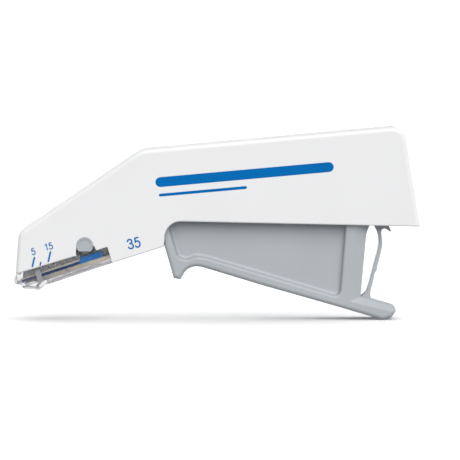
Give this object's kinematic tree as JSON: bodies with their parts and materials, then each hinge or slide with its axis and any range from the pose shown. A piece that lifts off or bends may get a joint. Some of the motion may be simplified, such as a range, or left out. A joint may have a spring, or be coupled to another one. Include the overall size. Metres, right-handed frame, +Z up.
{
  "type": "skin stapler",
  "caption": "Handheld disposable skin stapler: two-part angled housing, squeeze trigger with moulded return leaf, clear nose magazine with staples and a spring-fed pusher.",
  "frame": {"origin": "centre of the bounding box's base, under the middle of the object as it stands in the picture, on the plane where the housing halves meet", "axes": "nose towards -X, rear towards +X, Y across the thickness (the side in the picture faces -Y), Z up"},
  "size_m": [0.14, 0.018, 0.0668],
  "materials": {
    "housing_white": "moulded white plastic, fine satin",
    "trigger_grey": "moulded grey plastic, fine satin",
    "clear_plastic": "clear moulded plastic",
    "dark_plastic": "dark moulded plastic",
    "pusher_blue": "moulded blue plastic, also the printed marks",
    "staple_steel": "bright drawn wire",
    "blade_steel": "blanked stainless sheet",
    "warm_steel": "stainless sheet that looks warm through the clear plastic",
    "spring_steel": "drawn spring wire",
    "blued_steel": "blued spring strip"
  },
  "bodies": {
    "housing": {"anvil_plate": "blade_steel", "cross_pins": "blade_steel", "floor_plate": "warm_steel", "former_guide": "blade_steel", "left_housing": "housing_white", "leg_tip_guides": "blued_steel", "magazine_base": "clear_plastic", "magazine_clips": "clear_plastic", "magazine_nose": "clear_plastic", "pivot_saddles": "dark_plastic", "pusher_spring": "spring_steel", "right_housing": "housing_white", "side_windows": "clear_plastic", "spring_channel": "dark_plastic", "spring_guide_rod": "blade_steel", "staple_guides": "warm_steel", "staple_rail": "blade_steel", "staple_retainer": "spring_steel", "staple_stack": "staple_steel"},
    "trigger": {"trigger": "trigger_grey", "drive_pin": "blade_steel"},
    "former": {"former": "blade_steel", "loaded_staple": "staple_steel"},
    "pusher": {"staple_pusher": "pusher_blue"}
  },
  "joints": [
    {"name": "trigger_squeeze", "type": "hinge", "parent": "housing", "child": "trigger", "pos_m": [-0.04544, 0, 0.02587], "axis": [0, -1, 0], "range_deg": [0, 16], "stiffness_Nm_per_rad": 0.5, "springref_deg": -11.46},
    {"name": "former_drive", "type": "slide", "parent": "housing", "child": "former", "axis": [-0.0993, 0, -0.9951], "range_m": [0, 0.0051]},
    {"name": "pusher_feed", "type": "slide", "parent": "housing", "child": "pusher", "axis": [-0.9505, 0, -0.3107], "range_m": [0, 0.01975], "deforming": ["staple_stack", "pusher_spring"]}
  ],
  "couplings": [
    {"joint": "former_drive", "follows": "trigger_squeeze", "m_per_rad": 0.01798}
  ]
}
